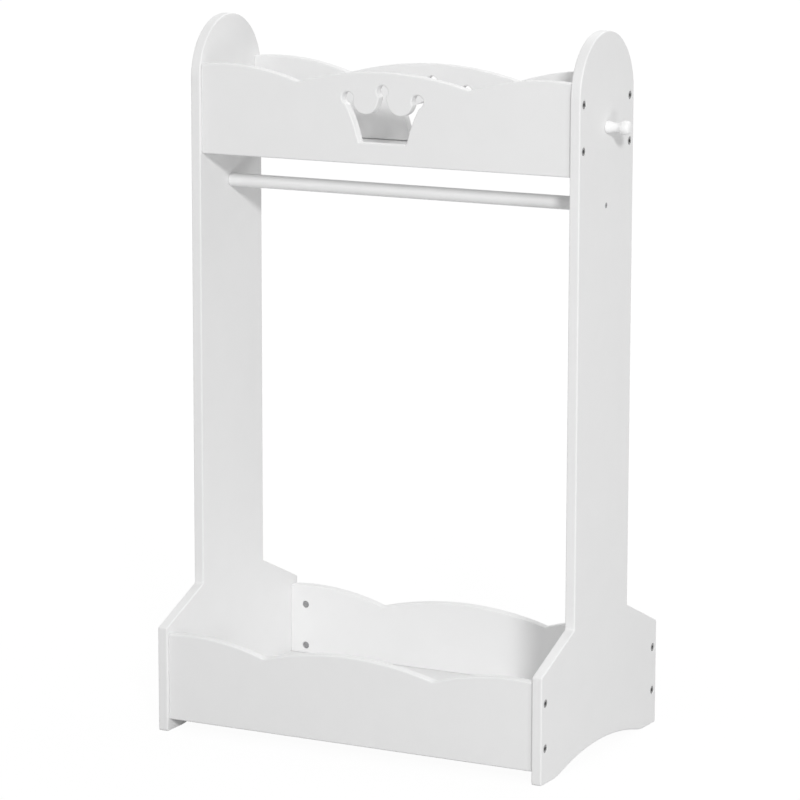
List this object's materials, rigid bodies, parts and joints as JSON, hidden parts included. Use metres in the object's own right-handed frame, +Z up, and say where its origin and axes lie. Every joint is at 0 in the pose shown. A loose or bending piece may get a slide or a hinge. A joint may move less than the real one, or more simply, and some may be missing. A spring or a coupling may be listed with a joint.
{
  "type": "children's coat rack with shelf",
  "caption": "White children's dress-up rack: hanging rail between shaped side panels, wavy-edged tray above with crown cut-outs, storage bin below and side pegs.",
  "frame": {"origin": "on the floor under the middle of the rack", "axes": "+Z up, +X along the rail to the viewer's right, +Y from the front to the back"},
  "size_m": [0.6706, 0.375, 1],
  "materials": {
    "white_painted_board": "satin white paint",
    "white_painted_turning": "semi-gloss white paint",
    "zinc_plated_steel": "zinc plated",
    "beech": "bare"
  },
  "bodies": {
    "root": {"left_side_panel": "white_painted_board", "right_side_panel": "white_painted_board", "upper_shelf": "white_painted_board", "base_shelf": "white_painted_board", "hanging_rail": "white_painted_turning", "left_peg": "white_painted_turning", "right_peg": "white_painted_turning", "left_rail_screw": "zinc_plated_steel", "left_peg_screw": "zinc_plated_steel", "right_rail_screw": "zinc_plated_steel", "right_peg_screw": "zinc_plated_steel", "upper_front_panel": "white_painted_board", "upper_front_left_top_bolt": "zinc_plated_steel", "upper_front_left_top_nut": "zinc_plated_steel", "upper_front_left_bottom_bolt": "zinc_plated_steel", "upper_front_left_bottom_nut": "zinc_plated_steel", "upper_front_right_top_bolt": "zinc_plated_steel", "upper_front_right_top_nut": "zinc_plated_steel", "upper_front_right_bottom_bolt": "zinc_plated_steel", "upper_front_right_bottom_nut": "zinc_plated_steel", "upper_back_panel": "white_painted_board", "upper_back_left_top_bolt": "zinc_plated_steel", "upper_back_left_top_nut": "zinc_plated_steel", "upper_back_left_bottom_bolt": "zinc_plated_steel", "upper_back_left_bottom_nut": "zinc_plated_steel", "upper_back_right_top_bolt": "zinc_plated_steel", "upper_back_right_top_nut": "zinc_plated_steel", "upper_back_right_bottom_bolt": "zinc_plated_steel", "upper_back_right_bottom_nut": "zinc_plated_steel", "lower_front_panel": "white_painted_board", "lower_front_left_top_bolt": "zinc_plated_steel", "lower_front_left_top_nut": "zinc_plated_steel", "lower_front_left_bottom_bolt": "zinc_plated_steel", "lower_front_left_bottom_nut": "zinc_plated_steel", "lower_front_right_top_bolt": "zinc_plated_steel", "lower_front_right_top_nut": "zinc_plated_steel", "lower_front_right_bottom_bolt": "zinc_plated_steel", "lower_front_right_bottom_nut": "zinc_plated_steel", "lower_back_panel": "white_painted_board", "lower_back_left_top_bolt": "zinc_plated_steel", "lower_back_left_top_nut": "zinc_plated_steel", "lower_back_left_bottom_bolt": "zinc_plated_steel", "lower_back_left_bottom_nut": "zinc_plated_steel", "lower_back_right_top_bolt": "zinc_plated_steel", "lower_back_right_top_nut": "zinc_plated_steel", "lower_back_right_bottom_bolt": "zinc_plated_steel", "lower_back_right_bottom_nut": "zinc_plated_steel", "upper_shelf_left_front_dowel": "beech", "upper_shelf_left_back_dowel": "beech", "upper_shelf_right_front_dowel": "beech", "upper_shelf_right_back_dowel": "beech", "base_shelf_left_front_dowel": "beech", "base_shelf_left_back_dowel": "beech", "base_shelf_right_front_dowel": "beech", "base_shelf_right_back_dowel": "beech"}
  },
  "joints": []
}
